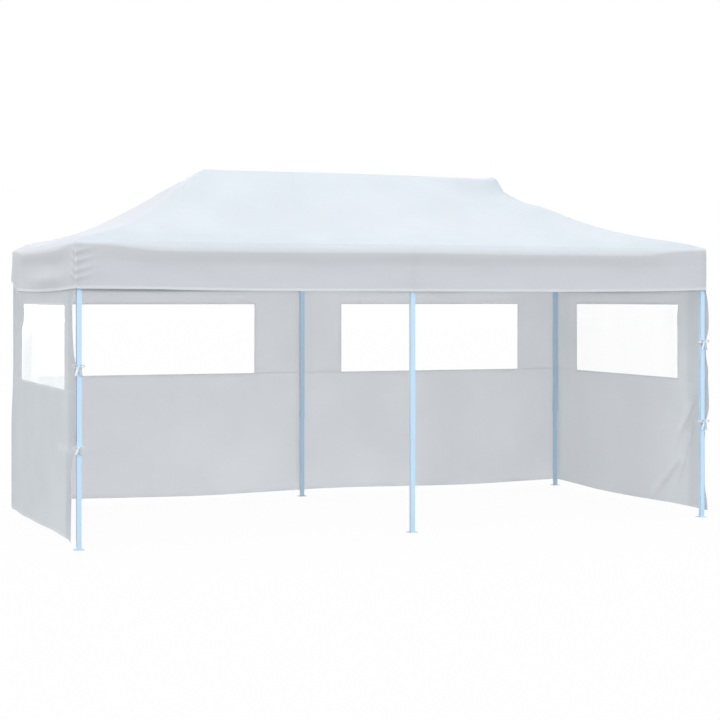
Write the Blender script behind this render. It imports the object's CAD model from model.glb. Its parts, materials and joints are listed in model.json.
# %% [markdown]
# # A pop-up gazebo
#
# A pop-up gazebo is a folding steel frame under one sewn cover, with walls that hang outside its legs.
# The frame comes ready made, at its real size in metres, and stays as it is. This lesson adds what a
# workshop would add last: the paint, the mouldings' finish, the cloth, the clear windows and the ties.

# %% Load the frame
import json
import math

import bmesh
import bpy
from mathutils import Matrix, Vector, noise

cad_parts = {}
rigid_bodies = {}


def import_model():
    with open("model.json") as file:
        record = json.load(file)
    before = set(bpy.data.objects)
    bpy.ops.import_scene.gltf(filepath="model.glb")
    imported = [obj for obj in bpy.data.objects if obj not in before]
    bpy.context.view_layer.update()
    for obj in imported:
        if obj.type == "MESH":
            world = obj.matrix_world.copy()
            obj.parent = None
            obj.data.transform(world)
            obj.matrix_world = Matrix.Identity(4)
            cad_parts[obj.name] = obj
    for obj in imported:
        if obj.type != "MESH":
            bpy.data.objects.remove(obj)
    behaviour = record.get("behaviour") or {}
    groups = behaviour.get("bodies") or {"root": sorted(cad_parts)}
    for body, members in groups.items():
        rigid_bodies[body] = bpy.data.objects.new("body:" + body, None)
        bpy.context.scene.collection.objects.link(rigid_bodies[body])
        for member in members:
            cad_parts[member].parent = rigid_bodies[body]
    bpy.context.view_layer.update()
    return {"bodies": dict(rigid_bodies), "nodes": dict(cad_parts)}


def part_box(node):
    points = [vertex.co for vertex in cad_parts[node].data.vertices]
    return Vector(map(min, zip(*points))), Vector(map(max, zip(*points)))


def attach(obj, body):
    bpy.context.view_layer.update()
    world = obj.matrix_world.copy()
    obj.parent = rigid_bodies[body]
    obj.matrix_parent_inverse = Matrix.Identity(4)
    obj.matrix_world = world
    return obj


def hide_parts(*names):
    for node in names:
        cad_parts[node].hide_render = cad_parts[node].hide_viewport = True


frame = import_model()
scene = bpy.context.scene
scene.view_settings.view_transform = "Standard"

# %% [markdown]
# ## Where the legs stand
#
# Every cloth piece hangs from the six legs, so their axes are the first thing to know. They could be typed
# in, but would then be wrong as soon as the frame changed. A foot plate is square and sits under the middle
# of its leg, so the middle of an inner leg's box is the leg's axis.

# %% Leg axes
LEGS = ["front_left", "front_middle", "front_right", "back_left", "back_middle", "back_right"]


def axis_of(leg):
    low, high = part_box(f"{leg}_inner_leg")
    return (low + high) / 2


leg_axis = {leg: axis_of(leg) for leg in LEGS}
BAY = leg_axis["front_right"].x
HALF_BAY = leg_axis["back_right"].y
print("Bay", round(BAY, 3), "m, half bay", round(HALF_BAY, 3), "m")

# %% [markdown]
# ## The camera
#
# The photograph was taken from the front left, with a long lens and upright legs. A camera that is tilted
# would make the legs lean together, so this one looks level, and its frame is shifted down instead.

# %% Camera
CAMERA_AT = (-5.666, -14.886, 1.994)
CAMERA_YAW = 0.3681
LENS_MM = 85.4
SENSOR_MM = 36
FRAME_SHIFT = -0.085

camera_data = bpy.data.cameras.new("camera")
camera_data.lens = LENS_MM
camera_data.sensor_width = SENSOR_MM
camera_data.shift_y = FRAME_SHIFT
camera = bpy.data.objects.new("camera", camera_data)
camera.location = CAMERA_AT
camera.rotation_euler = (math.pi / 2, 0, -CAMERA_YAW)
scene.collection.objects.link(camera)
scene.camera = camera
print("Camera turned", round(math.degrees(CAMERA_YAW), 1), "degrees to the right")

# %% [markdown]
# ## Shader maths as Python
#
# A finish is a small formula over the surface. Adding nodes one by one hides that formula, so one class
# wraps a socket and lets Python's own operators add the Math nodes. All other nodes come from one method,
# which takes the node's type, its settings and then what goes into its sockets.

# %% The Wire class


class Wire:
    """One output of a node tree. Sums and products of wires add Math nodes to the tree."""

    def __init__(self, tree, socket=None):
        self.tree = tree
        self.socket = socket

    def node(self, kind, settings=None, sockets=None, out=0):
        made = self.tree.nodes.new(kind)
        for name, value in (settings or {}).items():
            setattr(made, name, value)
        for key, value in (sockets or {}).items():
            if isinstance(value, Wire):
                self.tree.links.new(value.socket, made.inputs[key])
            else:
                made.inputs[key].default_value = value
        return Wire(self.tree, made.outputs[out] if made.outputs else None)

    def output(self, name):
        """Another output of the node that this wire comes from."""
        return Wire(self.tree, self.socket.node.outputs[name])

    def math(self, operation, first, second=0.0, clamp=False):
        settings = {"operation": operation, "use_clamp": clamp}
        return self.node("ShaderNodeMath", settings, {0: first, 1: second})

    def __add__(self, other):
        return self.math("ADD", self, other)

    def __sub__(self, other):
        return self.math("SUBTRACT", self, other)

    def __rsub__(self, other):
        return self.math("SUBTRACT", other, self)

    def __mul__(self, other):
        return self.math("MULTIPLY", self, other)

    def __lt__(self, other):
        return self.math("LESS_THAN", self, other)

    def __gt__(self, other):
        return self.math("GREATER_THAN", self, other)

    def __abs__(self):
        return self.math("ABSOLUTE", self)

    __radd__ = __add__
    __rmul__ = __mul__

    def power(self, exponent):
        return self.math("POWER", self, exponent)

    def sine(self):
        return self.math("SINE", self)

    def at_least(self, other):
        return self.math("MAXIMUM", self, other)

    def clamped(self):
        return self.math("ADD", self, 0.0, clamp=True)

    def fade(self, start, end):
        """Smooth step from 0 at start to 1 at end. The start may be the larger one."""
        settings = {"interpolation_type": "SMOOTHSTEP"}
        return self.node("ShaderNodeMapRange", settings, {"Value": self, "From Min": start, "From Max": end})

    def axis(self, name):
        """X, Y or Z of a vector."""
        return self.node("ShaderNodeSeparateXYZ", None, {0: self}, name)


print("Wire has", len([name for name in vars(Wire) if callable(getattr(Wire, name))]), "operations")

# %% [markdown]
# A few nodes come up in almost every finish: a mix of two colours, a place, a noise and a bump. Each gets a
# short function. The place is the object's own coordinates, or the sheet's own UV map where a pattern has to
# follow the cloth, because a pattern on either of them stays put when the piece moves.

# %% Shader helpers


def empty_tree(owner):
    owner.use_nodes = True
    owner.node_tree.nodes.clear()
    return Wire(owner.node_tree)


def tint(wire, factor, first, second):
    """Colour between two colours. A plain Math node would turn them grey."""
    sockets = {0: factor, 6: first, 7: second}
    return wire.node("ShaderNodeMix", {"data_type": "RGBA"}, sockets, 2)


def object_place(wire):
    return wire.node("ShaderNodeTexCoord", None, None, "Object")


def cloth_place(wire):
    return wire.node("ShaderNodeUVMap", {"uv_map": "cloth"})


def stretched(wire, place, scales):
    return wire.node("ShaderNodeVectorMath", {"operation": "MULTIPLY"}, {0: place, 1: scales})


def noise_of(wire, place, scale, detail=3.0, rough=0.5):
    sockets = {"Vector": place, "Scale": scale, "Detail": detail, "Roughness": rough}
    return wire.node("ShaderNodeTexNoise", None, sockets)


def bumped(wire, height, strength):
    """Normal of a surface with that height, in metres."""
    return wire.node("ShaderNodeBump", None, {"Strength": strength, "Distance": 1.0, "Height": height})


def show(wire, surface):
    wire.node("ShaderNodeOutputMaterial", None, {0: surface})


print("Shader helpers ready")

# %% [markdown]
# ## The white all round
#
# The picture is a studio cut-out on pure white. The white must not come from more light, because the cloth
# would burn out. Light Path tells which rays reach the eye, straight or by a mirror or a clear film, so only
# those rays see white, and the object itself is lit at a plain level.

# %% World
WHITE = (1, 1, 1, 1)
SKY_LIGHT = (1.0, 0.982, 0.968, 1)
SKY_STRENGTH = 0.80


def seen_by_eye(wire):
    path = wire.node("ShaderNodeLightPath", None, None, "Is Camera Ray")
    return (path + path.output("Is Glossy Ray") + path.output("Is Transmission Ray")).clamped()


world = bpy.data.worlds.new("studio")
scene.world = world
sky = empty_tree(world)
lit = sky.node("ShaderNodeBackground", None, {"Color": SKY_LIGHT, "Strength": SKY_STRENGTH})
white = sky.node("ShaderNodeBackground", None, {"Color": WHITE, "Strength": 1})
shown = sky.node("ShaderNodeMixShader", None, {0: seen_by_eye(sky), 1: lit, 2: white})
sky.node("ShaderNodeOutputWorld", None, {0: shown})
print("Sky of strength", SKY_STRENGTH)

# %% [markdown]
# ## The lamps
#
# White cloth shows its shape only by small differences of light. One wide, slightly blue lamp stands high at
# the front left, like an open sky, and makes the roof paler than the valance. A weaker one stands low behind
# and shines through the back walls. Area lamps would fade over a length of six metres. Sun lamps stay even,
# and a wide angle makes their shadows as soft.

# %% Lamps
LAMPS = {
    "high_soft_lamp": {"power": 2.9, "angle": 120, "colour": (0.75, 0.90, 1.0), "lean": 18, "turn": -32},
    "back_soft_lamp": {"power": 1.1, "angle": 30, "colour": (1.0, 0.985, 0.965), "lean": 85, "turn": 178},
}

for name, plan in LAMPS.items():
    lamp_data = bpy.data.lights.new(name, "SUN")
    lamp_data.energy = plan["power"]
    lamp_data.angle = math.radians(plan["angle"])
    lamp_data.color = plan["colour"]
    lamp = bpy.data.objects.new(name, lamp_data)
    lamp.rotation_euler = (math.radians(plan["lean"]), 0, math.radians(plan["turn"]))
    scene.collection.objects.link(lamp)
    print(name, "leans", plan["lean"], "degrees")

# %% [markdown]
# ## The floor
#
# The gazebo stands on a floor without an edge. The floor is plain grey for the light, which it bounces up
# under the canopy, and it glows white for the eye. A few hundredths of the grey stay visible, because they
# carry the object's soft shadow, and without it the legs would seem to float.

# %% Floor
FLOOR_HALF = 120
FLOOR_GREY = (0.58, 0.555, 0.525, 1)
FLOOR_GLOW = 0.96


def floor_finish():
    material = bpy.data.materials.new("studio_floor")
    wire = empty_tree(material)
    plain = wire.node("ShaderNodeBsdfDiffuse", None, {"Color": FLOOR_GREY})
    glow = wire.node("ShaderNodeEmission", None, {"Color": WHITE, "Strength": 1})
    factor = seen_by_eye(wire) * FLOOR_GLOW
    show(wire, wire.node("ShaderNodeMixShader", None, {0: factor, 1: plain, 2: glow}))
    return material


def finished(bm, name, material):
    """Turns a bmesh into an object of that name and finish, at the origin."""
    mesh = bpy.data.meshes.new(name)
    bm.to_mesh(mesh)
    bm.free()
    mesh.materials.append(material)
    piece = bpy.data.objects.new(name, mesh)
    scene.collection.objects.link(piece)
    return piece


floor_bm = bmesh.new()
bmesh.ops.create_grid(floor_bm, x_segments=1, y_segments=1, size=FLOOR_HALF)
floor = finished(floor_bm, "floor", floor_finish())
print("Floor", 2 * FLOOR_HALF, "m wide")

# %% [markdown]
# ## Curves for soft shapes
#
# Cloth has few straight lines. It could be sculpted by hand, or dropped in a simulation, but here every fold
# has its known place, so it is written as a formula. A few small functions describe most of it: a smooth
# step, a soft bump, a sum of waves, an even roughness, and a smooth curve through a handful of points.

# %% Shape helpers


def step(start, end, x):
    """Smooth step from 0 at start to 1 at end. The start may be the larger one."""
    share = min(1.0, max(0.0, (x - start) / (end - start)))
    return share * share * (3 - 2 * share)


def bump(x, middle, width):
    return math.exp(-(((x - middle) / width) ** 2))


def waves(x, parts):
    """Sum of waves, each with its size, its rate and its phase."""
    return sum(size * math.sin(rate * x + phase) for size, rate, phase in parts)


def softness(x, y, z, size):
    """Gentle unevenness between -1 and 1, the same each time."""
    return noise.noise(Vector((x, y, z)) / size)


print("Halfway up a step:", step(0, 1, 0.5))

# %% Curve through points


def slope_at(points, k):
    """Slope of the curve at one of its points, from the points on both sides."""
    before = points[max(k - 1, 0)]
    after = points[min(k + 1, len(points) - 1)]
    return (after[1] - before[1]) / (after[0] - before[0])


def through(points, x):
    """Smooth curve through points that are sorted along x, level past both ends."""
    if x <= points[0][0]:
        return points[0][1]
    if x >= points[-1][0]:
        return points[-1][1]
    k = max(n for n, point in enumerate(points) if point[0] <= x)
    (x0, y0), (x1, y1) = points[k], points[k + 1]
    length = x1 - x0
    u = (x - x0) / length
    rise_0, rise_1 = slope_at(points, k) * length, slope_at(points, k + 1) * length
    return (
        y0 * (1 + 2 * u) * (1 - u) ** 2
        + rise_0 * u * (1 - u) ** 2
        + y1 * (3 - 2 * u) * u * u
        - rise_1 * (1 - u) * u * u
    )


print("Halfway through a rise of one:", through([(0, 0), (1, 1)], 0.5))

# %% [markdown]
# ## How the cloth is sewn
#
# Cover and walls are one coated polyester, sewn double along hems, seams and window tapes. A picture of that
# would blur close up, and thread modelled as geometry would need millions of faces. So every sheet carries an
# attribute with three distances, to its nearest seam, to its hem, and to a third edge of its own: the eave on
# the canopy, the window's edge on a wall. Stitches are lines at a fixed distance, broken into dashes.

# %% Sewing masks
HEM_M = 0.026
SEAM_M = 0.008
GROOVE_M = 0.0012
STITCH_M = 0.005
STITCH_SHARE = 0.86
SEAM_STITCH_M = 0.006
THREAD_HALF = 0.0009
DASH_FROM = -0.45
LINING_FADE = 0.02


def sewing(wire, u, v, tape_m):
    """Masks of double cloth, of stitches, of the seams' grooves, and of the lining past the third edge."""
    sewn = wire.node("ShaderNodeAttribute", {"attribute_name": "sewn"}, None, "Vector")
    seam, hem, edge = sewn.axis("X"), sewn.axis("Y"), sewn.axis("Z")
    in_tape = (edge < tape_m) * (edge > -tape_m)
    double = (hem < HEM_M).at_least(in_tape).at_least(seam < SEAM_M)
    dash = ((u + v) * (2 * math.pi / STITCH_M)).sine() > DASH_FROM
    on_hem = abs(hem - HEM_M * STITCH_SHARE) < THREAD_HALF
    on_tape = abs(abs(edge) - tape_m * STITCH_SHARE) < THREAD_HALF
    on_seam = abs(seam - SEAM_STITCH_M) < THREAD_HALF
    stitch = on_hem.at_least(on_tape).at_least(on_seam) * dash
    return double, stitch, seam < GROOVE_M, edge.fade(LINING_FADE, -LINING_FADE)


print("Hems", HEM_M * 1000, "mm wide, stitches", STITCH_M * 1000, "mm apart")

# %% [markdown]
# ## The cloth's finish
#
# Close up the cloth is a plain weave about a millimetre wide. From a step away it is a matt, faintly cloudy
# sheet that lets some light through, less where it is sewn double. Principled alone would look like painted
# board, so it is mixed with Translucent, which gives the light that comes from behind. The valance is lined:
# greyer, and darker against the light. A sheet may also have a patch of another tone.

# %% Cloth material
WEAVE_M = 0.0011
WEAVE_LOW = 0.18
WEAVE_RISE = 0.00006
CLOTH_CLOUDS = (1.7, 4.0, 0.55)
CRUMPLE_SCALE = 9.0
CRUMPLE_RISE = 0.0022
DOUBLE_RISE = 0.0006
STITCH_DIP = 0.0005
GROOVE_DIP = 0.0007
LINING = (0.742, 0.734, 0.752, 1)
DOUBLE_TONE = (0.86, 0.87, 0.88, 1)
THREAD = (0.92, 0.92, 0.93, 1)
LIGHT_THROUGH = 0.66
DOUBLE_STOPS = 0.12
LINING_STOPS = 0.28


def sewn_cloth(name, colour, shade, tape_m, patch=None):
    """Cloth of a colour and its shade. A patch is a function that makes a mask from u, and its colour."""
    material = bpy.data.materials.new(name)
    wire = empty_tree(material)
    uv = cloth_place(wire)
    u, v = uv.axis("X"), uv.axis("Y")
    place = object_place(wire)
    double, stitch, groove, lined = sewing(wire, u, v, tape_m)
    per_metre = 2 * math.pi / WEAVE_M
    weave = (u * per_metre).sine() * (v * per_metre).sine() * 0.5 + 0.5
    cloud = noise_of(wire, place, *CLOTH_CLOUDS)
    crumple = noise_of(wire, place, CRUMPLE_SCALE)

    base = tint(wire, cloud.fade(0.35, 0.68), shade, colour)
    if patch:
        mask, patch_colour = patch
        base = tint(wire, mask(u), base, patch_colour)
    base = tint(wire, lined, base, LINING)
    base = tint(wire, double * 0.2, base, DOUBLE_TONE)
    base = tint(wire, stitch * 0.6, base, THREAD)
    base = tint(wire, (weave < WEAVE_LOW) * 0.12, base, shade)

    raised = weave * WEAVE_RISE + crumple * CRUMPLE_RISE + double * DOUBLE_RISE
    normal = bumped(wire, raised - stitch * STITCH_DIP - groove * GROOVE_DIP, 0.8)
    rough = cloud * 0.14 + 0.52 + stitch * 0.1
    sockets = {"Base Color": base, "Roughness": rough, "Normal": normal}
    sockets |= {"Specular IOR Level": 0.12, "Sheen Weight": 0.03, "Sheen Roughness": 0.5}
    body = wire.node("ShaderNodeBsdfPrincipled", None, sockets)
    glow = wire.node("ShaderNodeBsdfTranslucent", None, {"Color": base, "Normal": normal})
    light_share = LIGHT_THROUGH - double * DOUBLE_STOPS - lined * LINING_STOPS
    show(wire, wire.node("ShaderNodeMixShader", None, {0: light_share, 1: body, 2: glow}))
    return material


print("Weave of", WEAVE_M * 1000, "mm")

# %% [markdown]
# Three cloths come from that recipe. The roof's end panels are a shade greyer than its long slopes: they lie
# ten metres further along the UV map, so a mask finds them by that. The end walls are a shade darker in a
# band along their front edges, which a mask finds by the distance from the front leg.

# %% Three cloths
ROOF_WHITE = (0.865, 0.868, 0.878, 1)
ROOF_SHADE = (0.845, 0.85, 0.86, 1)
WALL_WHITE = (0.805, 0.81, 0.822, 1)
WALL_SHADE = (0.785, 0.792, 0.805, 1)
END_PANEL = (0.843, 0.832, 0.846, 1)
END_ROLL_AT = 10.0
BAND_SHADE = (0.70, 0.707, 0.72, 1)
BAND_FADE = (0.324 - HALF_BAY, 0.243 - HALF_BAY)
BAND_SHARE = 0.5
EAVE_TAPE = 0.012
WINDOW_TAPE = 0.022


def on_end_panel(u):
    return u > END_ROLL_AT / 2


def on_front_band(u):
    return u.fade(*BAND_FADE) * BAND_SHARE


end_patch = (on_end_panel, END_PANEL)
canopy_cloth = sewn_cloth("canopy_cloth", ROOF_WHITE, ROOF_SHADE, EAVE_TAPE, end_patch)
wall_cloth = sewn_cloth("wall_cloth", WALL_WHITE, WALL_SHADE, WINDOW_TAPE)
band_patch = (on_front_band, BAND_SHADE)
end_wall_cloth = sewn_cloth("end_wall_cloth", WALL_WHITE, WALL_SHADE, WINDOW_TAPE, band_patch)
print("Cloths:", canopy_cloth.name, wall_cloth.name, end_wall_cloth.name)

# %% [markdown]
# ## The canopy's measures
#
# The cover is one sewn sheet: a hipped roof with a straight ridge between two peaks, and a deep valance. It
# lies on the six brackets, so their tops set the eave, and it hangs a little below straight slopes, more on
# the right, where the peak also falls away more steeply. Cloth pinned at its corners in a simulation would
# hang evenly, so each slope's hollow follows a few measured points instead.

# %% Canopy sizes
CLOTH_T = 0.001
MARGIN = 0.036
HALF_X = BAY + MARGIN
HALF_Y = HALF_BAY + MARGIN
RIDGE_HALF = HALF_X - HALF_Y
BRACKET_ROOM = 0.004
EAVE_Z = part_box("front_left_leg")[1].z + BRACKET_ROOM
TIP_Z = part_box("canopy")[1].z
DROP = 0.372
EAVE_SAG = 0.005
END_SAG = 0.006
SAG_REACH = 0.55

# Share of the way up a slope, and how far the cloth hangs below it there
LEFT_HOLLOW = [(0, 0), (0.1, 0.004), (0.2, 0.047), (0.35, 0.094), (0.5, 0.102), (0.63, 0.082)]
LEFT_HOLLOW += [(0.78, 0.043), (1, 0)]
MIDDLE_HOLLOW = [(0, 0), (0.1, 0.008), (0.25, 0.06), (0.45, 0.108), (0.62, 0.108), (0.82, 0.06), (1, 0)]
RIGHT_HOLLOW = [(0, 0), (0.1, 0.019), (0.3, 0.093), (0.45, 0.131), (0.6, 0.140), (0.76, 0.125)]
RIGHT_HOLLOW += [(0.84, 0.143), (0.91, 0.120), (0.945, 0.098), (0.975, 0.012), (0.985, 0.002), (1, 0)]
HOLLOW_TURNS = 0.55

# Share of the ridge's half length, and the ridge's height there, measured from its tips
RIDGE_DIPS = [(-1, 0), (-0.95, -0.004), (-0.8, -0.006), (0, -0.004), (0.7, -0.012), (0.94, -0.012), (1, 0)]
print("Eave", round(EAVE_Z, 3), "m, tip", round(TIP_Z, 3), "m, ridge", round(2 * RIDGE_HALF, 3), "m long")

# %% Heights of the roof


def from_eave(x, y):
    """Distances in plan from the ends' eaves and from the long sides' eaves."""
    return max(0.0, HALF_X - abs(x)), max(0.0, HALF_Y - abs(y))


def eave_sag(x, y):
    end, side = from_eave(x, y)
    if side <= end:
        return EAVE_SAG * math.sin(math.pi * x / BAY) ** 2 * (1 - step(0, SAG_REACH, side))
    return END_SAG * math.cos(math.pi * y / (2 * HALF_BAY)) ** 2 * (1 - step(0, SAG_REACH, end))


def roof_hollow(x, t):
    right = step(HOLLOW_TURNS, RIDGE_HALF, x)
    left = step(HOLLOW_TURNS, RIDGE_HALF, -x)
    sides = left * through(LEFT_HOLLOW, t) + right * through(RIGHT_HOLLOW, t)
    return sides + (1 - left - right) * through(MIDDLE_HOLLOW, t)


def roof_z(x, y):
    """Height of the cloth's upper side, without the rounded fold at the eave."""
    t = min(from_eave(x, y)) / HALF_Y
    ridge = TIP_Z + through(RIDGE_DIPS, x / RIDGE_HALF)
    return EAVE_Z + (ridge - EAVE_Z) * t - roof_hollow(x, t) - eave_sag(x, y)


print("Middle of the front slope", round(roof_z(0, -HALF_Y / 2), 3), "m high")

# %% [markdown]
# ## Creases and puckers
#
# A sewn cover is never quite smooth. This one has three faint creases where it was folded, beside the left
# front hip, and small puckers where a corner's seam is gathered over its leg, plain to see at the front left
# and faint at the others. A bump map would vanish at the outline, so these are real dents in the mesh.

# %% Small folds of the canopy
CREASE_HEIGHTS = [0.70, 0.61, 0.52]
CREASE_MIDDLE = -1.78
CREASE_HALF = 0.34
CREASE_RISE = 0.005
CREASE_WIDE = 0.017
CREASE_BACK = 0.033
PUCKER_DEPTHS = [0.075, 0.15, 0.225, 0.29]
PUCKER_RISE = 0.009
FAINT_PUCKER = 0.0009
PUCKER_HALF = 0.018
PUCKER_TILT = 0.3
PUCKER_REACH = 0.24


def crease(x, y, t):
    """Small ridges with a hollow below each, on the front slope."""
    if y > 0:
        return 0.0
    across = bump(x, CREASE_MIDDLE, CREASE_HALF)
    ridges = sum(bump(t, at, CREASE_WIDE) - bump(t, at - CREASE_BACK, CREASE_WIDE) for at in CREASE_HEIGHTS)
    return CREASE_RISE * across * ridges


def pucker(x, y, corner, depth):
    """Small ridges across a corner of the valance, strongest at the front left one."""
    ridges = sum(bump(depth, at - PUCKER_TILT * corner, PUCKER_HALF) for at in PUCKER_DEPTHS)
    rise = PUCKER_RISE if x < 0 and y < 0 else FAINT_PUCKER
    return rise * ridges * (1 - step(0.0, PUCKER_REACH, corner))


print(len(CREASE_HEIGHTS), "creases and", len(PUCKER_DEPTHS), "puckers a corner")

# %% [markdown]
# ## The canopy's net
#
# A grid is the natural start for a sheet, but an even grid would cut across the hips and make them jagged.
# So the grid's lines are moved: as many lines lead in from the ends as from the long sides, at the same
# distances, and every hip runs through the corners of its cells. The lines are close together at the eave,
# where the cloth turns down in a small arc, and at the peaks, where it lies over the caps.

# %% Lines of the net
FOLD_WIDE = 0.030
FOLD_LINES = 11
SLOPE_LINES = 42
SLOPE_GROWTH = 1.03
RIDGE_GAPS = [0.085, 0.055, 0.034, 0.018, 0.0]
RIDGE_CELLS = 80


def lines_from_eave():
    """Distances of the net's lines from the eave: an arc's worth, wider ones, and fine ones at the peak."""
    quarter = math.pi / 2
    fold = [FOLD_WIDE * (1 - math.cos(quarter * k / FOLD_LINES)) for k in range(FOLD_LINES)]
    whole = SLOPE_GROWTH**SLOPE_LINES - 1
    shares = [(SLOPE_GROWTH**k - 1) / whole for k in range(SLOPE_LINES + 1)]
    slope = [FOLD_WIDE + (HALF_Y - RIDGE_GAPS[0] - FOLD_WIDE) * share for share in shares]
    return fold + slope + [HALF_Y - gap for gap in RIDGE_GAPS[1:]]


near_lines = lines_from_eave()
left_xs = [-HALF_X + s for s in near_lines]
ridge_xs = [RIDGE_HALF * (2 * k / RIDGE_CELLS - 1) for k in range(1, RIDGE_CELLS)]
canopy_xs = left_xs + ridge_xs + [-x for x in reversed(left_xs)]
front_ys = [-HALF_Y + s for s in near_lines]
canopy_ys = front_ys + [-y for y in reversed(front_ys[:-1])]
print(len(canopy_xs), "lines along and", len(canopy_ys), "across")

# %% [markdown]
# The net is made flat. Every cell on a hip is cut along its diagonal, or the fold there would fall to chance.
# The border is then extruded down, row by row, which makes the valance part of the same sheet.

# %% Flat canopy
VALANCE_ROWS = 30


def grid_on(xs, ys):
    """A bmesh grid whose lines lie at the given places, and its vertices by column and row."""
    bm = bmesh.new()
    columns, rows = len(xs) - 1, len(ys) - 1
    bmesh.ops.create_grid(bm, x_segments=columns, y_segments=rows, size=0.5)
    at = {}
    for vert in bm.verts:
        i, j = round((vert.co.x + 0.5) * columns), round((vert.co.y + 0.5) * rows)
        vert.co = (xs[i], ys[j], 0)
        at[i, j] = vert
    return bm, at


canopy_bm, canopy_at = grid_on(canopy_xs, canopy_ys)
last_i, last_j = len(canopy_xs) - 1, len(canopy_ys) - 1
for k in range(len(near_lines) - 1):
    for i, di in ((k, 1), (last_i - k, -1)):
        for j, dj in ((k, 1), (last_j - k, -1)):
            bmesh.ops.connect_vert_pair(canopy_bm, verts=[canopy_at[i, j], canopy_at[i + di, j + dj]])

rim = [edge for edge in canopy_bm.edges if edge.is_boundary]
for row in range(VALANCE_ROWS):
    made = bmesh.ops.extrude_edge_only(canopy_bm, edges=rim)["geom"]
    lower = [part for part in made if isinstance(part, bmesh.types.BMVert)]
    bmesh.ops.translate(canopy_bm, verts=lower, vec=(0, 0, -DROP / VALANCE_ROWS))
    rim = [part for part in made if isinstance(part, bmesh.types.BMEdge) and part.is_boundary]
print("Canopy net:", len(canopy_bm.faces), "faces")

# %% [markdown]
# Before the net is shaped it is still flat, so this is the moment to note where the seams and hems run, and
# to lay the UV map: each panel of the roof and each side of the valance in metres, as it was cut.

# %% Seams and UV map of the canopy


def canopy_seams(x, y, depth):
    """Distances to the nearest seam, to the hem and to the eave, in metres."""
    end, side = from_eave(x, y)
    if depth > 0:
        return max(end, side), DROP - depth, -depth
    ridge_gap = HALF_Y - side if end > HALF_Y else HALF_Y
    return min(abs(end - side) / math.sqrt(2), ridge_gap), DROP + min(end, side), min(end, side)


sewn_layer = canopy_bm.verts.layers.float_vector.new("sewn")
for vert in canopy_bm.verts:
    vert[sewn_layer] = canopy_seams(vert.co.x, vert.co.y, max(0.0, -vert.co.z))
uv_layer = canopy_bm.loops.layers.uv.new("cloth")
for face in canopy_bm.faces:
    middle = face.calc_center_median()
    end, side = from_eave(middle.x, middle.y)
    for loop in face.loops:
        spot = loop.vert.co
        near_end, near_side = from_eave(spot.x, spot.y)
        if end < side:
            loop[uv_layer].uv = (END_ROLL_AT + spot.y, near_end + spot.z)
        else:
            loop[uv_layer].uv = (spot.x, near_side + spot.z)
print("Seams and map laid on", len(canopy_bm.verts), "points")

# %% [markdown]
# ## The canopy's shape
#
# Now the flat net takes its shape. The cloth bends over the eave in a small arc, tight over a corner's
# bracket and wide away from it, where it also swells out a little. In plan the corners are rounded, as
# cloth drawn over a bracket is.

# %% Eave and corners
FOLD_HIGH = 0.058
END_FOLD_WIDE = 0.027
END_FOLD_HIGH = 0.042
CORNER_FOLD = 0.012
CORNER_R = 0.018
CORNER_NEAR = 0.12
CORNER_FAR = 0.70
EAVE_SWELL = 0.016


def near_corner(x, y):
    """1 close to a corner leg, and 0 away from the corners."""
    return 1 - step(CORNER_NEAR, CORNER_FAR, math.hypot(BAY - abs(x), HALF_BAY - abs(y)))


def eave_swell(x, y):
    """How far the eave stands out of the leg line, away from the corners."""
    return EAVE_SWELL * (1 - near_corner(x, y))


def fold_sizes(x, y):
    """Width and height of the arc in which the cloth turns down at the eave."""
    end, side = from_eave(x, y)
    wide, high = (FOLD_WIDE, FOLD_HIGH) if side <= end else (END_FOLD_WIDE, END_FOLD_HIGH)
    corner = near_corner(x, y)
    return wide + (CORNER_FOLD - wide) * corner, high + (CORNER_FOLD - high) * corner


def plan_point(x, y):
    """Rounds the corners in plan. Gives the place and the way out of the canopy there."""
    a = max(0.0, abs(x) - HALF_X + CORNER_R)
    b = max(0.0, abs(y) - HALF_Y + CORNER_R)
    ways = Vector((math.copysign(1, x), math.copysign(1, y)))
    if a == 0 or b == 0:
        out = Vector((ways.x, 0)) if HALF_X - abs(x) < HALF_Y - abs(y) else Vector((0, ways.y))
        return Vector((x, y)), out
    out = Vector((a, b)).normalized()
    core = Vector((HALF_X - CORNER_R, HALF_Y - CORNER_R))
    place = core + out * max(a, b)
    return Vector((place.x * ways.x, place.y * ways.y)), Vector((out.x * ways.x, out.y * ways.y))


print("Arc along a side", FOLD_WIDE * 1000, "mm wide, at a corner", CORNER_FOLD * 1000, "mm")

# %% [markdown]
# Below the arc the valance is drawn in a little, and then swings out in long soft waves towards its hem. The
# hem sags between its corners. The left end bulges, and the back left corner of the hem is turned up.

# %% Hang of the valance
# Place along the front, and how far the hem hangs down there
FRONT_HEM = [(-HALF_X, 0.0), (-2.25, 0.004), (-1.75, 0.014), (0, 0.019), (1.0, 0.020), (1.45, 0.020)]
FRONT_HEM += [(2.27, 0.015), (2.7, 0.007), (HALF_X, 0.002)]
END_HEM_SAG = 0.021
BACK_HEM_SAG = 0.012
LIFTED_CORNER = 0.085
LIFT_REACH = 0.30
TURNED_UP = 0.014
FRONT_TUCK = 0.006
TUCK = 0.003
TUCK_REACH = 0.14
TUCK_ENDS = (0.45, 1.0)
TUCK_CORNER = (0.02, 0.30)
FRONT_WAVE = 0.003
WAVE_OUT = 0.007
WAVE_BEND = 1.3
WAVE_CORNER = (0.0, 0.35)
WAVES_ROUND = 1.6
VALANCE_WAVES = [(0.3, 3.6, 1.1), (0.2, 8.3, 0.4)]

# Middle and width of the left end's bulge, along the end in metres and down the valance as a share
BULGE = 0.021
BULGE_ALONG = (-0.35, 0.70)
BULGE_DOWN = (0.70, 0.20)


def lifted(x, y):
    """1 at the back left corner, whose hem is turned up a little, and 0 away from it."""
    return 1 - step(0.0, LIFT_REACH, math.hypot(x + HALF_X, y - HALF_Y))


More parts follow.
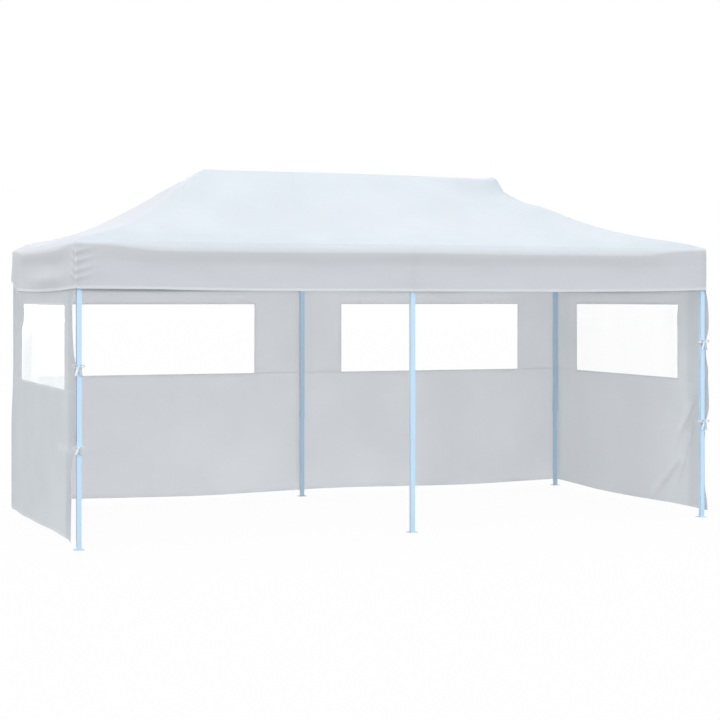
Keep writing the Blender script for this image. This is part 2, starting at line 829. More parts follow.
def hem_sag(x, y):
    end, side = from_eave(x, y)
    lift = LIFTED_CORNER * lifted(x, y)
    if end < side:
        return END_HEM_SAG * math.cos(math.pi * y / (2 * HALF_Y)) - lift
    if y < 0:
        return through(FRONT_HEM, x)
    return BACK_HEM_SAG * math.sin(math.pi * x / BAY) ** 2 - lift


def left_bulge(x, y, share):
    """How far the valance of the left end bulges, strongest a little in front of its middle."""
    end, side = from_eave(x, y)
    if end >= side or x > 0:
        return 0.0
    return BULGE * bump(y, *BULGE_ALONG) * bump(share, *BULGE_DOWN)


def valance_out(x, y, depth):
    """How far the valance stands out of its plane at a depth below the eave."""
    end, side = from_eave(x, y)
    corner = max(end, side)
    share = depth / DROP
    below = step(0.0, TUCK_REACH, depth)
    tuck, wave = (FRONT_TUCK, FRONT_WAVE) if side < end and y < 0 else (TUCK, WAVE_OUT)
    drawn = tuck * below * (1 - step(*TUCK_ENDS, share)) * step(*TUCK_CORNER, corner)
    sway = 0.5 + waves(x + WAVES_ROUND * y, VALANCE_WAVES)
    swing = wave * sway * share**WAVE_BEND * step(*WAVE_CORNER, corner)
    turned_up = TURNED_UP * lifted(x, y) * share**2
    swell = eave_swell(x, y) * (1 - below)
    return swell - drawn + swing + left_bulge(x, y, share) + turned_up + pucker(x, y, corner, depth)


print("Front hem sags", round(1000 * through(FRONT_HEM, 0)), "mm in the middle")

# %% [markdown]
# A point of the roof is lifted to its height, and a point of the valance hangs from its eave. Solidify then
# gives the sheet a thickness. Its faces are shaded smooth, and only the narrow strip along the cut edge keeps
# sharp borders, so the hem reads as a crisp edge.

# %% Shape the canopy
SWELL_REACH = 0.25
UNEVEN = 0.004
UNEVEN_SIZE = 0.55
UNEVEN_FROM = (0.1, 0.5)
UNEVEN_TO = (0.85, 0.98)


def roof_point(x, y):
    place, out = plan_point(x, y)
    wide, high = fold_sizes(x, y)
    near = min(from_eave(x, y))
    t = near / HALF_Y
    bend = max(0.0, 1 - near / wide)
    uneven = UNEVEN * softness(x, y, 0, UNEVEN_SIZE) * step(*UNEVEN_FROM, t) * (1 - step(*UNEVEN_TO, t))
    moved = place + out * eave_swell(x, y) * (1 - step(0.0, SWELL_REACH, near))
    z = roof_z(x, y) - high * (1 - math.sqrt(1 - bend * bend)) + crease(x, y, t) + uneven
    return moved.x, moved.y, z


def valance_point(x, y, depth):
    place, out = plan_point(x, y)
    share = depth / DROP
    top = roof_z(x, y) - fold_sizes(x, y)[1]
    moved = place + out * valance_out(x, y, depth)
    return moved.x, moved.y, top * (1 - share) + (EAVE_Z - DROP - hem_sag(x, y)) * share


def sheet_piece(bm, name, material):
    """Gives a shaped sheet its thickness, inwards, and makes it an object with crisp cut edges."""
    bmesh.ops.solidify(bm, geom=bm.faces[:], thickness=CLOTH_T)
    across_cut = 1.5 * CLOTH_T
    for face in bm.faces:
        face.smooth = True
        if min(edge.calc_length() for edge in face.edges) < across_cut:
            for edge in face.edges:
                edge.smooth = edge.calc_length() < across_cut
    return finished(bm, name, material)


for vert in canopy_bm.verts:
    x, y, z = vert.co
    vert.co = valance_point(x, y, -z) if z < 0 else roof_point(x, y)
bmesh.ops.recalc_face_normals(canopy_bm, faces=canopy_bm.faces)
canopy_area = sum(face.calc_area() for face in canopy_bm.faces)
canopy = sheet_piece(canopy_bm, "canopy_cover", canopy_cloth)
print("Canopy:", round(canopy_area, 2), "square metres of cloth,", len(canopy.data.polygons), "faces")

# %% [markdown]
# ## Cloth that follows the legs
#
# When the frame folds, the six legs draw together and all the cloth between them goes along. A cloth piece
# that rode on one leg would tear off the others. A Hook modifier pulls a weighted group of points after an
# object, so each sheet rides on one leg and is hooked to the rest: a point between two legs takes a share of
# each leg's way. The shares aren't even: cloth near a peak stays slack, because the post and its arms need
# room there when the frame is folded.

# %% Shares of the legs
# Share of a bay that is left between its legs when the frame is folded, and the slack over a peak
FOLDED = 0.1322
PEAK_ROOM = 0.06


def kept_width(gap):
    """Distance from a peak when folded, from that distance in the open frame."""
    slack = PEAK_ROOM * (1 - math.exp(-gap / PEAK_ROOM))
    rest = FOLDED * HALF_BAY - PEAK_ROOM * (1 - math.exp(-HALF_BAY / PEAK_ROOM))
    return slack + rest * gap / HALF_BAY


def share_past(gap):
    """Share of the leg behind a peak line, from the distance past that line: 0 at one leg, 1 at the other."""
    way = math.copysign(1, gap)
    gap = min(HALF_BAY, abs(gap))
    return 0.5 + way * (gap - kept_width(gap)) / (2 * HALF_BAY * (1 - FOLDED))


def leg_shares(x, y):
    """How much of each leg's way a point takes, from its place in plan."""
    outer = share_past(abs(x) - BAY / 2)
    back = share_past(y)
    columns = {"left": outer if x < 0 else 0.0, "middle": 1 - outer, "right": outer if x > 0 else 0.0}
    rows = {"front": 1 - back, "back": back}
    return {f"{row}_{column}": rows[row] * columns[column] for row in rows for column in columns}


print("Folded, a bay keeps", round(1000 * FOLDED * BAY), "mm")

# %% Hooks
LEAST_SHARE = 0.001


def follow_legs(piece, home):
    """Rides a sheet on its home leg and hooks it to the others by their shares."""
    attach(piece, f"{home}_leg")
    groups = {leg: piece.vertex_groups.new(name=leg) for leg in LEGS if leg != home}
    used = set()
    for vert in piece.data.vertices:
        for leg, share in leg_shares(vert.co.x, vert.co.y).items():
            if leg != home and share > LEAST_SHARE:
                groups[leg].add([vert.index], share, "REPLACE")
                used.add(leg)
    for leg in sorted(used):
        hook = piece.modifiers.new(leg, "HOOK")
        hook.object = frame["bodies"][f"{leg}_leg"]
        hook.vertex_group = leg
        hook.falloff_type = "NONE"
        hook.matrix_inverse = Matrix.Identity(4)
    return sorted(used)


print("Canopy hooked to", follow_legs(canopy, "back_middle"))
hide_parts("canopy")

# %% [markdown]
# ## The walls' places
#
# Four walls hang outside the legs, behind the valance. They differ only in where they hang and in where their
# windows sit, so one small class holds that, and gives the point at a place along the wall, a distance out of
# it and a height. The wide window is the one that shows through another.

# %% Walls
# From the legs' axes to the inner side of the cloth
WALL_FACE = 0.0259
SILL_Z, HEAD_Z = (corner.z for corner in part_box("windows"))
WINDOW_SIDE = 0.435
WIDE_OUTER_SIDE = 0.150
WIDE_INNER_SIDE = 0.495


class Wall:
    """One wall: the middle of its leg line in plan, the way along it, the way out of it, and its window."""

    def __init__(self, name, middle, along, out, home, sides=(WINDOW_SIDE, WINDOW_SIDE)):
        self.name = name
        self.middle, self.along, self.out = Vector(middle), Vector(along), Vector(out)
        self.home = home
        low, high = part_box(name)
        self.low = (low.xy - self.middle).dot(self.along)
        self.high = (high.xy - self.middle).dot(self.along)
        self.hem_z, self.top_z = low.z, high.z
        self.window = (-BAY / 2 + sides[0], BAY / 2 - sides[1])

    def point(self, u, stand, z):
        place = self.middle + self.along * u + self.out * (WALL_FACE + CLOTH_T + stand)
        return Vector((place.x, place.y, z))


WIDE_SIDES = (WIDE_OUTER_SIDE, WIDE_INNER_SIDE)
LEFT_WALL = Wall("left_wall", (-BAY, 0), (0, 1), (-1, 0), "back_left")
RIGHT_WALL = Wall("right_wall", (BAY, 0), (0, 1), (1, 0), "back_right")
BACK_LEFT = Wall("back_left_wall", (-BAY / 2, HALF_BAY), (1, 0), (0, 1), "back_middle", WIDE_SIDES)
BACK_RIGHT = Wall("back_right_wall", (BAY / 2, HALF_BAY), (1, 0), (0, 1), "back_middle")
WALLS = [LEFT_WALL, RIGHT_WALL, BACK_LEFT, BACK_RIGHT]
for wall in WALLS:
    left, right = wall.window
    print(wall.name, round(wall.high - wall.low, 3), "m wide, its window", round(right - left, 3), "m")

# %% [markdown]
# ## How the end walls hang
#
# The end walls are tied to their front legs at two heights only, so their front edges stand out between the
# ties in shallow bells, and folds run down from the ties. A curve through a few heights gives the bells, and
# each fold is a soft ridge along a line, with the place along the wall and the height of both its ends.

# %% Flares and folds
TIES = {"left": [0.806, 1.455], "right": [0.871, 1.599]}

# Height, and how far the front edge stands out there
LEFT_FLARE = [(0.0, 0.040), (0.35, 0.034), (0.68, 0.020), (0.806, 0.002), (0.97, 0.007), (1.28, 0.007)]
LEFT_FLARE += [(1.455, 0.002), (1.56, 0.018), (1.8, 0.030), (2.08, 0.026), (2.3, 0.0)]
RIGHT_FLARE = [(0.0, 0.009), (0.5, 0.008), (0.78, 0.004), (0.871, 0.002), (0.93, 0.022), (1.0, 0.036)]
RIGHT_FLARE += [(1.2, 0.030), (1.42, 0.010), (1.599, 0.002), (1.68, 0.026), (1.78, 0.035), (1.95, 0.026)]
RIGHT_FLARE += [(2.1, 0.016), (2.3, 0.0)]
FLARE_REACH = 0.42
FLARE_BEND = 1.6
FOLD_STARTS = (-0.25, 0.15)
FOLD_FADES = (0.6, 1.2)

# Start and end of each fold, from the front edge and the ground, then how far it stands out and its width
LEFT_FOLDS = [((0.04, 0.62), (0.36, 0.12), 0.018, 0.06)]
RIGHT_FOLDS = [
    ((0.06, 1.30), (0.56, 0.62), 0.042, 0.040),
    ((0.24, 0.86), (0.58, 0.16), 0.044, 0.034),
    ((0.45, 0.52), (0.98, 0.08), 0.036, 0.038),
]


def fold_line(edge, z, start, end, width):
    """Soft ridge along a line on the wall, strongest at its start."""
    a, b = Vector(start), Vector(end)
    way = b - a
    share = (Vector((edge, z)) - a).dot(way) / way.length_squared
    off = abs((edge - a.x) * way.y - (z - a.y) * way.x) / way.length
    return bump(off, 0, width) * step(*FOLD_STARTS, share) * (1 - step(*FOLD_FADES, share))


def tied_out(edge, z, flare, folds):
    """How far a tied wall stands out at a distance from its front edge."""
    bell = through(flare, z) * max(0.0, 1 - edge / FLARE_REACH) ** FLARE_BEND
    return bell + sum(height * fold_line(edge, z, start, end, width) for start, end, height, width in folds)


print("Right wall's front edge stands out", round(1000 * tied_out(0, 1.76, RIGHT_FLARE, RIGHT_FOLDS)), "mm")

# %% [markdown]
# The two windows of the end walls aren't held straight either. The left one is drawn in near the top of its
# back edge, where the cloth behind it is gathered, and the right one along its front edge.

# %% Gathers beside the windows
GATHER = 0.013
DIP = 0.022
DENT = 0.018
DENT_SIDE_SHARE = 0.8

# Middle and width of each soft bump, start and end of each step, in metres along or up the wall
GATHER_WAVES = [(1.0, 36, 1.0)]
GATHER_ALONG = (0.24, 0.16)
GATHER_RISE = (1.55, 1.95)
DIP_ALONG = (0.47, 0.075)
DIP_UP = (1.85, 0.085)
DENT_ALONG = (0.0, 0.16)
DENT_UP = (1.80, 0.11)
DENT_TOP = (1.88, 1.74)
DENT_FOOT = (1.0, 1.25)


def left_window_out(back, z):
    """Gathers and dip beside the left window, from the distance to the wall's back edge."""
    gather = waves(back, GATHER_WAVES) * bump(back, *GATHER_ALONG) * step(*GATHER_RISE, z)
    return GATHER * gather - DIP * bump(back, *DIP_ALONG) * bump(z, *DIP_UP)


def right_window_out(beside, z):
    """Dent along the right window's front edge, deepest near its top."""
    beside_it = DENT_SIDE_SHARE * step(*DENT_TOP, z) * step(*DENT_FOOT, z)
    return -DENT * bump(beside, *DENT_ALONG) * max(bump(z, *DENT_UP), beside_it)


def end_wall_out(wall, u, z):
    edge = u - wall.low
    if wall is LEFT_WALL:
        return tied_out(edge, z, LEFT_FLARE, LEFT_FOLDS) + left_window_out(wall.high - u, z)
    return tied_out(edge, z, RIGHT_FLARE, RIGHT_FOLDS) + right_window_out(u - wall.window[0], z)


print("Left window's back edge is drawn in", round(-1000 * left_window_out(DIP_ALONG[0], DIP_UP[0])), "mm")

# %% [markdown]
# ## How all walls hang
#
# The wind and their own weight give all walls a soft billow, and under the valance they lie flat. Beside a
# leg they stand out a little further, up to the height that a foot reaches when its leg is slid up: without
# that room the foot plate would cut through the cloth.

# %% How far a wall stands out
BILLOW = 0.008
BILLOW_PAST_HEM = 0.6
BILLOW_LENGTH = 2.6
FLAT_FROM, FLAT_TO = 1.95, 2.12
FOOT_ROOM = 0.017
FOOT_TOP = 0.755
FOOT_NEAR, FOOT_FAR = 0.48, 0.95
TIED_FADE, FREE_FADE = 0.04, 0.60
ROOM_SHARED = 0.7
WALL_UNEVEN = 0.0025
WALL_UNEVEN_SIZE = 0.35
EDGE_STILL = (0.02, 0.5)
EDGE_EVEN = (0.05, 0.4)


def foot_room(wall, u, z):
    """How far a wall stands out over a leg, so that the foot can slide up behind it."""
    tied = wall.out.x != 0 and u < 0
    top = FOOT_TOP + (TIED_FADE if tied else FREE_FADE)
    beside = 1 - step(FOOT_NEAR, FOOT_FAR, abs(abs(u) - BAY / 2))
    return FOOT_ROOM * beside * (1 - step(FOOT_TOP, top, z))


def wall_out(wall, u, z):
    """How far a wall stands out of its plane, at a place along it and a height."""
    swell = math.sin(math.pi * min(1.0, max(0.0, (z - wall.hem_z + BILLOW_PAST_HEM) / BILLOW_LENGTH)))
    free = step(FLAT_TO, FLAT_FROM, z)
    gap = min(u - wall.low, wall.high - u)
    ripple = 0.5 + waves(u, [(0.3, 3.3, 0.9 * z), (0.2, 7.5, 1.4)])
    stand = BILLOW * swell * free * ripple * step(*EDGE_STILL, gap)
    if wall.out.x:
        stand += end_wall_out(wall, u, z) * free
    room = foot_room(wall, u, z)
    if room > 0:
        stand += room - ROOM_SHARED * min(stand, room)
    uneven = softness(u, z, len(wall.name), WALL_UNEVEN_SIZE) * step(*EDGE_EVEN, gap)
    return stand + WALL_UNEVEN * uneven * free


print("Back right wall's middle stands out", round(1000 * wall_out(BACK_RIGHT, 0, 1.0)), "mm")

# %% [markdown]
# The hems wave a little, and the left wall's hem hangs lower at the back. Below its lower tie the right
# wall's front edge is drawn back behind the leg. All this bends a flat grid, in metres along and up the wall,
# into the wall's place, so the same function can hang a wall and its window.

# %% Hang a sheet
HEM_WAVE = 0.010
HEM_PHASE = 0.7
HEM_REACH = 0.5
LEFT_HEM_DROP = 0.052
DRAWN_IN = 0.045
DRAWN_REACH = 0.35
DRAWN_FROM, DRAWN_TO = 0.30, 0.70
HEM_STILL = 0.03


def drawn_in(wall, u, z):
    """How far the right wall's front edge is drawn back behind its leg, below the lower tie."""
    if wall is not RIGHT_WALL:
        return 0.0
    low = step(wall.hem_z + HEM_STILL, DRAWN_FROM, z) * (1 - step(DRAWN_TO, TIES["right"][0], z))
    return DRAWN_IN * low * (1 - step(0.0, DRAWN_REACH, u - wall.low))


def hang(bm, wall, behind=0.0):
    """Bends a flat grid in u and z into the wall's place."""
    for vert in bm.verts:
        u, z = vert.co.x, vert.co.y
        low = 1 - step(wall.hem_z, wall.hem_z + HEM_REACH, z)
        along = (u - wall.low) / (wall.high - wall.low)
        lift = HEM_WAVE * low * math.sin(2 * math.pi * along + HEM_PHASE)
        if wall is LEFT_WALL:
            lift -= LEFT_HEM_DROP * low * along
        vert.co = wall.point(u + drawn_in(wall, u, z), wall_out(wall, u, z) - behind, z + lift)


def face_out(bm, wall):
    """Turns all faces of an open sheet to the outer side of its wall."""
    bm.normal_update()
    first = next(iter(bm.faces))
    if first.normal.xy.dot(wall.out) < 0:
        bmesh.ops.reverse_faces(bm, faces=bm.faces[:])


print("Hems wave by", HEM_WAVE * 1000, "mm")

# %% [markdown]
# ## Cutting the walls
#
# Each wall is again a grid with its lines moved, so that a window's edges lie on lines of the grid. A Boolean
# would leave long thin faces round the hole. Here the faces inside the window are simply deleted, which cuts
# the hole clean.

# %% Flat walls
CELL_M = 0.027


def spread(*stops):
    """Lines about a cell apart that pass through all the stops."""
    lines = [stops[0]]
    for low, high in zip(stops, stops[1:]):
        count = max(1, round((high - low) / CELL_M))
        lines += [low + (high - low) * k / count for k in range(1, count + 1)]
    return lines


def lay_uv(bm):
    layer = bm.loops.layers.uv.new("cloth")
    for face in bm.faces:
        for loop in face.loops:
            loop[layer].uv = loop.vert.co.xy


def wall_seams(wall, u, z):
    """Distances to the sill seam, to the hems and to the window's edge."""
    left, right = wall.window
    beside = max(left - u, u - right, SILL_Z - z, z - HEAD_Z)
    hem = min(u - wall.low, wall.high - u, z - wall.hem_z, wall.top_z - z)
    return abs(z - SILL_Z), hem, beside


def wall_sheet(wall):
    left, right = wall.window
    rows = spread(wall.hem_z, SILL_Z, HEAD_Z, wall.top_z)
    bm, _ = grid_on(spread(wall.low, left, right, wall.high), rows)
    inside = [face for face in bm.faces if wall_seams(wall, *face.calc_center_median().xy)[2] < 0]
    bmesh.ops.delete(bm, geom=inside, context="FACES")
    layer = bm.verts.layers.float_vector.new("sewn")
    for vert in bm.verts:
        vert[layer] = wall_seams(wall, vert.co.x, vert.co.y)
    lay_uv(bm)
    return bm


print("Cells of", CELL_M * 1000, "mm")

# %% Hang the walls
for wall in WALLS:
    sheet = wall_sheet(wall)
    hang(sheet, wall)
    face_out(sheet, wall)
    area = sum(face.calc_area() for face in sheet.faces)
    cloth = sheet_piece(sheet, f"{wall.name}_cloth", end_wall_cloth if wall.out.x else wall_cloth)
    hooked = follow_legs(cloth, wall.home)
    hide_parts(wall.name)

# %% [markdown]
# ## The windows' finish
#
# The windows are clear soft film. Glass would bend the light as a solid block does, but film this thin is
# almost invisible from straight on and only mirrors a little at a slant. So Layer Weight, raised to a power,
# mixes a glossy layer over plain transparency. Film is never quite flat: a long soft bump breaks up its
# reflections, and faint vertical streaks of haze show where it was rolled.

# %% Window film
FILM_TONE = (0.94, 0.95, 0.96, 1)
FILM_RIPPLE = 0.004
STREAKS = (9.0, 0.5, 1.0)
SLANT_POWER = 5.0
SLANT_GLOSS = 2.2
HAZE_GLOSS = 0.01


def window_film():
    material = bpy.data.materials.new("window_film")
    wire = empty_tree(material)
    ripple = noise_of(wire, object_place(wire), 5.0, 1.0)
    haze = noise_of(wire, stretched(wire, cloth_place(wire), STREAKS), 1.0).fade(0.58, 0.8)
    normal = bumped(wire, ripple * FILM_RIPPLE, 0.5)
    sockets = {"Base Color": FILM_TONE, "Roughness": haze * 0.2 + 0.06, "Normal": normal}
    gloss = wire.node("ShaderNodeBsdfPrincipled", None, sockets)
    clear = wire.node("ShaderNodeBsdfTransparent", None, {"Color": WHITE})
    slant = wire.node("ShaderNodeLayerWeight", None, {"Blend": 0.5}, "Facing")
    factor = (slant.power(SLANT_POWER) * SLANT_GLOSS + haze * HAZE_GLOSS).clamped()
    show(wire, wire.node("ShaderNodeMixShader", None, {0: factor, 1: clear, 2: gloss}))
    return material


film = window_film()
print("Film:", film.name)

# %% [markdown]
# Each film is its own grid, a little larger than the hole, and follows the same billow just behind the cloth,
# as if it were sewn to the wall's inner side. It has no thickness, because the light should pass one face.

# %% Hang the windows
LAP_M = 0.018
FILM_BEHIND = 0.003

for wall in WALLS:
    left, right = wall.window
    pane, _ = grid_on(spread(left - LAP_M, right + LAP_M), spread(SILL_Z - LAP_M, HEAD_Z + LAP_M))
    lay_uv(pane)
    hang(pane, wall, FILM_BEHIND)
    face_out(pane, wall)
    for face in pane.faces:
        face.smooth = True
    window = finished(pane, wall.name.replace("wall", "window"), film)
    follow_legs(window, wall.home)
    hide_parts("windows")

# %% [markdown]
# ## Painted steel
#
# The frame is square steel tube with a pale blue powder coat: slightly pebbled, half gloss, a little rubbed
# along its length and dusty at the feet. The bracket on top of each leg is white moulded plastic in the same
# piece of the frame. Its faces could be given a second material, but the frame's meshes stay as they are, so
# a mask by height switches between the two.

# %% Tube finish
BLUE = (0.50, 0.665, 0.82, 1)
BLUE_RUBBED = (0.56, 0.71, 0.84, 1)
DUST = (0.56, 0.55, 0.52, 1)
DUST_TOP = 0.16
MOULDED = (0.80, 0.82, 0.83, 1)
MOULDED_SHADE = (0.74, 0.76, 0.78, 1)
PEBBLE_SCALE = 900.0
PEBBLE_RISE = 0.00007
CLOUD_SCALE = 14.0
RUB_STRETCH = (60.0, 60.0, 1.5)


def coated_surface(wire, base, rough, height, metal=0.0):
    sockets = {"Base Color": base, "Roughness": rough, "Metallic": metal, "Normal": bumped(wire, height, 0.6)}
    show(wire, wire.node("ShaderNodeBsdfPrincipled", None, sockets))


def leg_finish(name, bracket_from):
    """Blue powder coat with dusty feet, and white moulding above the given height."""
    material = bpy.data.materials.new(name)
    wire = empty_tree(material)
    place = object_place(wire)
    z = place.axis("Z")
    pebble = noise_of(wire, place, PEBBLE_SCALE, 1.0)
    rub = noise_of(wire, stretched(wire, place, RUB_STRETCH), 1.0).fade(0.55, 0.72)
    dust = z.fade(DUST_TOP, 0.0) * noise_of(wire, place, 30.0).fade(0.3, 0.7)
    bracket = z > bracket_from
    blue = tint(wire, rub * 0.7, BLUE, BLUE_RUBBED)
    blue = tint(wire, dust * 0.35, blue, DUST)
    moulded = tint(wire, noise_of(wire, place, CLOUD_SCALE), MOULDED_SHADE, MOULDED)
    rough = 0.34 + rub * 0.1 + dust * 0.25 + bracket * 0.12
    coated_surface(wire, tint(wire, bracket, blue, moulded), rough, pebble * PEBBLE_RISE)
    return material


print("Coat pebbled by", round(PEBBLE_RISE * 1000, 3), "mm")

# %% [markdown]
# A scissor bar is the same coated steel, and its rivets are zinc plated. They lie in one piece too, so a mask
# tells them apart by how far they stand out of the bar's flat slab. The sliders, connectors and peak caps are
# moulded nylon with a fine spark-eroded grain.

# %% Bar and moulding finishes
ZINC = (0.60, 0.61, 0.63, 1)
BAR_T = 0.013
SLAB_SKIN = 0.0002
GRAIN_SCALE = 1400.0
GRAIN_RISE = 0.00005


def bar_finish(name, axis, middle):
    """Blue coat on a bar whose slab lies at a place along an axis, and zinc on what stands out of it."""
    material = bpy.data.materials.new(name)
    wire = empty_tree(material)
    place = object_place(wire)
    pebble = noise_of(wire, place, PEBBLE_SCALE, 1.0)
    rub = noise_of(wire, place, 22.0).fade(0.5, 0.75)
    rivet = abs(place.axis(axis) - middle) > BAR_T / 2 + SLAB_SKIN
    blue = tint(wire, rub * 0.6, BLUE, BLUE_RUBBED)
    rough = 0.36 + rub * 0.1 - rivet * 0.06
    coated_surface(wire, tint(wire, rivet, blue, ZINC), rough, pebble * PEBBLE_RISE, rivet)
    return material


def moulding_finish():
    """White moulded nylon: a fine grain and faint flow clouds."""
    material = bpy.data.materials.new("white_moulding")
    wire = empty_tree(material)
    place = object_place(wire)
    grain = noise_of(wire, place, GRAIN_SCALE, 2.0)
    cloud = noise_of(wire, place, CLOUD_SCALE)
    base = tint(wire, cloud, MOULDED_SHADE, MOULDED)
    coated_surface(wire, base, 0.44 + cloud * 0.08, grain * GRAIN_RISE)
    return material


print("Bars", BAR_T * 1000, "mm thick")

# %% [markdown]
# ## Painting the frame
#
# Legs, sliders, posts and caps come first. A mesh that came with the frame has a plain stand-in material in
# its slot, so the slot is emptied before the new finish goes in.

# %% Paint legs and peaks
BRACKET_H = 0.070
BELOW_BRACKET = 0.0001
PEAKS = ["left_peak", "right_peak"]


def paint(node, material):
    mesh = frame["nodes"][node].data
    mesh.materials.clear()
    mesh.materials.append(material)


bracket_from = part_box("front_left_leg")[1].z - BRACKET_H
leg_blue = leg_finish("leg_coat", bracket_from - BELOW_BRACKET)
# Nothing of an inner leg or a post is higher than the tip, so their tubes are all blue
tube_blue = leg_finish("tube_coat", TIP_Z)
moulding = moulding_finish()
for leg in LEGS:
    paint(f"{leg}_leg", leg_blue)
    paint(f"{leg}_inner_leg", tube_blue)
    paint(f"{leg}_slider", moulding)
for peak in PEAKS:
    paint(f"{peak}_post", tube_blue)
    paint(f"{peak}_cap", moulding)
print("Painted", 3 * len(LEGS) + 2 * len(PEAKS), "pieces of legs and peaks")

# %% [markdown]
# In every bay two pairs of bars cross, with one bar of a pair on each side of the leg line. Which side it is
# depends on the bay. The table gives the axis across a bay, its leg line, and the side of its first high bar.

# %% Paint bars and arms
BAYS = {
    "back_left_bay": ("Y", HALF_BAY, 1),
    "back_right_bay": ("Y", HALF_BAY, -1),
    "left_bay": ("X", -BAY, -1),
    "right_bay": ("X", BAY, -1),
    "front_left_bay": ("Y", -HALF_BAY, -1),
    "front_right_bay": ("Y", -HALF_BAY, 1),
}
BAR_SIDES = {"near_high_bar": 1, "near_low_bar": -1, "far_high_bar": -1, "far_low_bar": 1}
ARM_SIDES = {"back": -1, "front": 1}
HALF_PLANE_GAP = 0.0005
POST_HALF = 0.0125
SLAB_MIDDLE = HALF_PLANE_GAP + BAR_T / 2
ARM_MIDDLE = POST_HALF + SLAB_MIDDLE

for bay, (axis, line, side) in BAYS.items():
    finishes = {way: bar_finish(f"{bay}_coat_{way + 1}", axis, line + way * SLAB_MIDDLE) for way in (-1, 1)}
    for bar, bar_side in BAR_SIDES.items():
        paint(f"{bay}_{bar}", finishes[side * bar_side])
    if f"{bay}_connector" in frame["nodes"]:
        paint(f"{bay}_connector", moulding)
for peak in PEAKS:
    low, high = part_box(f"{peak}_post")
    for arm, way in ARM_SIDES.items():
        slab = (low.x + high.x) / 2 + way * ARM_MIDDLE
        paint(f"{peak}_{arm}_arm", bar_finish(f"{peak}_{arm}_coat", "X", slab))
print("All", len(frame["nodes"]), "frame pieces have a finish")

# %% [markdown]
# ## The ties' tape
#
# White cotton tapes sewn to the end walls are tied in bows round the front legs. Cotton is matt and a little
# cloudy, and its loose fibres catch the light at a slant. A Sheen shader could be mixed in for them, but
# Principled has a sheen layer already, so a little of that over a rough white is enough.

# %% Tape material
COTTON = (0.87, 0.90, 0.93, 1)
COTTON_SHADE = (0.78, 0.81, 0.85, 1)


def tape_finish():
    material = bpy.data.materials.new("cotton_tape")
    wire = empty_tree(material)
    cloud = noise_of(wire, object_place(wire), 40.0)
    base = tint(wire, cloud * 0.3 + 0.2, COTTON, COTTON_SHADE)
    sockets = {"Base Color": base, "Roughness": cloud * 0.1 + 0.7, "Sheen Weight": 0.2}
    show(wire, wire.node("ShaderNodeBsdfPrincipled", None, sockets))
    return material


cotton_tape = tape_finish()
print("Tape:", cotton_tape.name)

# %% [markdown]
# ## Ribbons
#
# A bow is a band, a knot, two loops and two tails, and all but the knot are ribbons. A curve with a flat
# profile twists where it likes, so a ribbon is a row of points along a path instead, joined by edges and
# extruded across by the tape's width.

# %% Ribbon
TAPE_W = 0.023
TAPE_T = 0.0012


def ribbon(bm, path, across, closed=False):
    """Adds a tape along a path, with its width along the way across."""
    lower = [bm.verts.new(spot - across * TAPE_W / 2) for spot in path]
    pairs = list(zip(lower, lower[1:])) + ([(lower[-1], lower[0])] if closed else [])
    made = bmesh.ops.extrude_edge_only(bm, edges=[bm.edges.new(pair) for pair in pairs])["geom"]
    for vert in [part for part in made if isinstance(part, bmesh.types.BMVert)]:
        vert.co += across * TAPE_W


print("Tape", TAPE_W * 1000, "mm wide and", TAPE_T * 1000, "mm thick")

# %% Paths of a bow
BAND_POINTS = 32
BAND_CORNER = 0.006
CORNER_ROOM = 1.45
BAND_WAVE = 0.002
LOOP_POINTS = 15
LOOP_HALF = 0.024
LOOP_HIGH = 0.013
LOOP_TILT = 0.30
LOOP_DROOP = 5.0
LOOP_OUT = 0.004
LOOP_SWELL = 0.006
TAIL_POINTS = 9
TAIL_ASIDE = 0.004
TAIL_SPREAD = 0.020
TAIL_OUT = 0.005
TAIL_SWING = 0.004
TAIL_WAVE = 4


def band_path(axis, half, height):
    """Square with round corners, round a leg."""
    path = []
    for k in range(BAND_POINTS):
        turn = 2 * math.pi * k / BAND_POINTS
        way = Vector((math.cos(turn), math.sin(turn)))
        flat = way / max(abs(way.x), abs(way.y)) * (half - BAND_CORNER)
        spot = axis.xy + flat + way * BAND_CORNER * CORNER_ROOM
        path.append(Vector((spot.x, spot.y, height + BAND_WAVE * math.sin(turn * 2))))
    return path


def loop_path(knot_at, way):
    """Out of the knot to one side, over, and back to the knot."""
    path = []
    for k in range(LOOP_POINTS):
        turn = 2 * math.pi * k / (LOOP_POINTS - 1)
        reach = LOOP_HALF * (1 - math.cos(turn))
        rise = LOOP_HIGH * math.sin(turn) + LOOP_TILT * reach - LOOP_DROOP * reach * reach
        path.append(knot_at + Vector((way * reach, -LOOP_OUT - LOOP_SWELL * math.sin(turn / 2), rise)))
    return path


def tail_path(knot_at, way, length):
    """Down from the knot, swinging out a little."""
    path = []
    for k in range(TAIL_POINTS):
        share = k / (TAIL_POINTS - 1)
        aside = way * (TAIL_ASIDE + TAIL_SPREAD * share)
        forward = -TAIL_OUT - TAIL_SWING * math.sin(TAIL_WAVE * share)
        path.append(knot_at + Vector((aside, forward, -length * share)))
    return path


print("A loop reaches", 2000 * LOOP_HALF, "mm out of its knot")

# %% [markdown]
# ## The bows
#
# The band lies close on the leg, or on the collar where a tie sits that low, and the knot is at the front, a
# little towards the wall. The ribbons are solidified together, and a flattened ball makes the knot, because a
# real knot's turns are too small to tell apart.

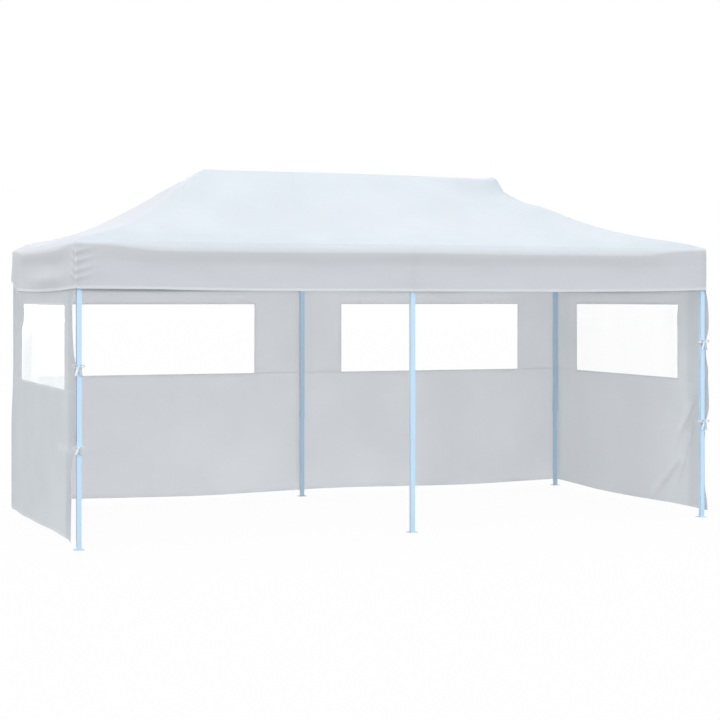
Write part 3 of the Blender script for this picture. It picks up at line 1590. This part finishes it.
# %% Tie the bows
BAND_GAP = 0.0004
KNOT_R = 0.010
KNOT_SHAPE = (1.0, 0.7, 0.95)
KNOT_SEGMENTS, KNOT_RINGS = 14, 9
KNOT_ASIDE = 0.008
KNOT_OUT = 0.006
KNOT_BACK = Vector((0, 0.0005, 0))
TUBE_HALF = 0.020
COLLAR_HALF = 0.0225
COLLAR_H = 0.05
TUBE_TAIL, COLLAR_TAIL = 0.075, 0.05


def tie_bow(name, leg, height, wall_way, on_collar):
    axis = leg_axis[leg]
    half = (COLLAR_HALF if on_collar else TUBE_HALF) + TAPE_T + BAND_GAP
    tail = COLLAR_TAIL if on_collar else TUBE_TAIL
    knot_at = Vector((axis.x + wall_way * KNOT_ASIDE, axis.y - half - KNOT_OUT, height))
    bm = bmesh.new()
    ribbon(bm, band_path(axis, half, height), Vector((0, 0, 1)), closed=True)
    for way in (-1, 1):
        ribbon(bm, loop_path(knot_at, way), Vector((0.25 * way, -0.85, 0.35)).normalized())
        ribbon(bm, tail_path(knot_at, way, tail), Vector((0.95, -0.25 * way, 0.2 * way)).normalized())
    bmesh.ops.solidify(bm, geom=bm.faces[:], thickness=TAPE_T)
    ball = bmesh.ops.create_uvsphere(bm, u_segments=KNOT_SEGMENTS, v_segments=KNOT_RINGS, radius=KNOT_R)
    knot = ball["verts"]
    bmesh.ops.scale(bm, verts=knot, vec=KNOT_SHAPE)
    bmesh.ops.translate(bm, verts=knot, vec=knot_at + KNOT_BACK)
    for face in bm.faces:
        face.smooth = True
    return finished(bm, name, cotton_tape)


for side, heights in TIES.items():
    leg = f"front_{side}"
    collar_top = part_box(f"{leg}_leg")[0].z + COLLAR_H
    for place, height in zip(("lower", "upper"), heights):
        bow = tie_bow(f"{side}_{place}_tie", leg, height, -1 if side == "left" else 1, height < collar_top)
        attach(bow, f"{leg}_leg")
        print(bow.name, "at", height, "m,", len(bow.data.polygons), "faces")

# %% [markdown]
# ## Done
#
# The dressed object has to stay the size of its frame. Both boxes are written down for comparison.
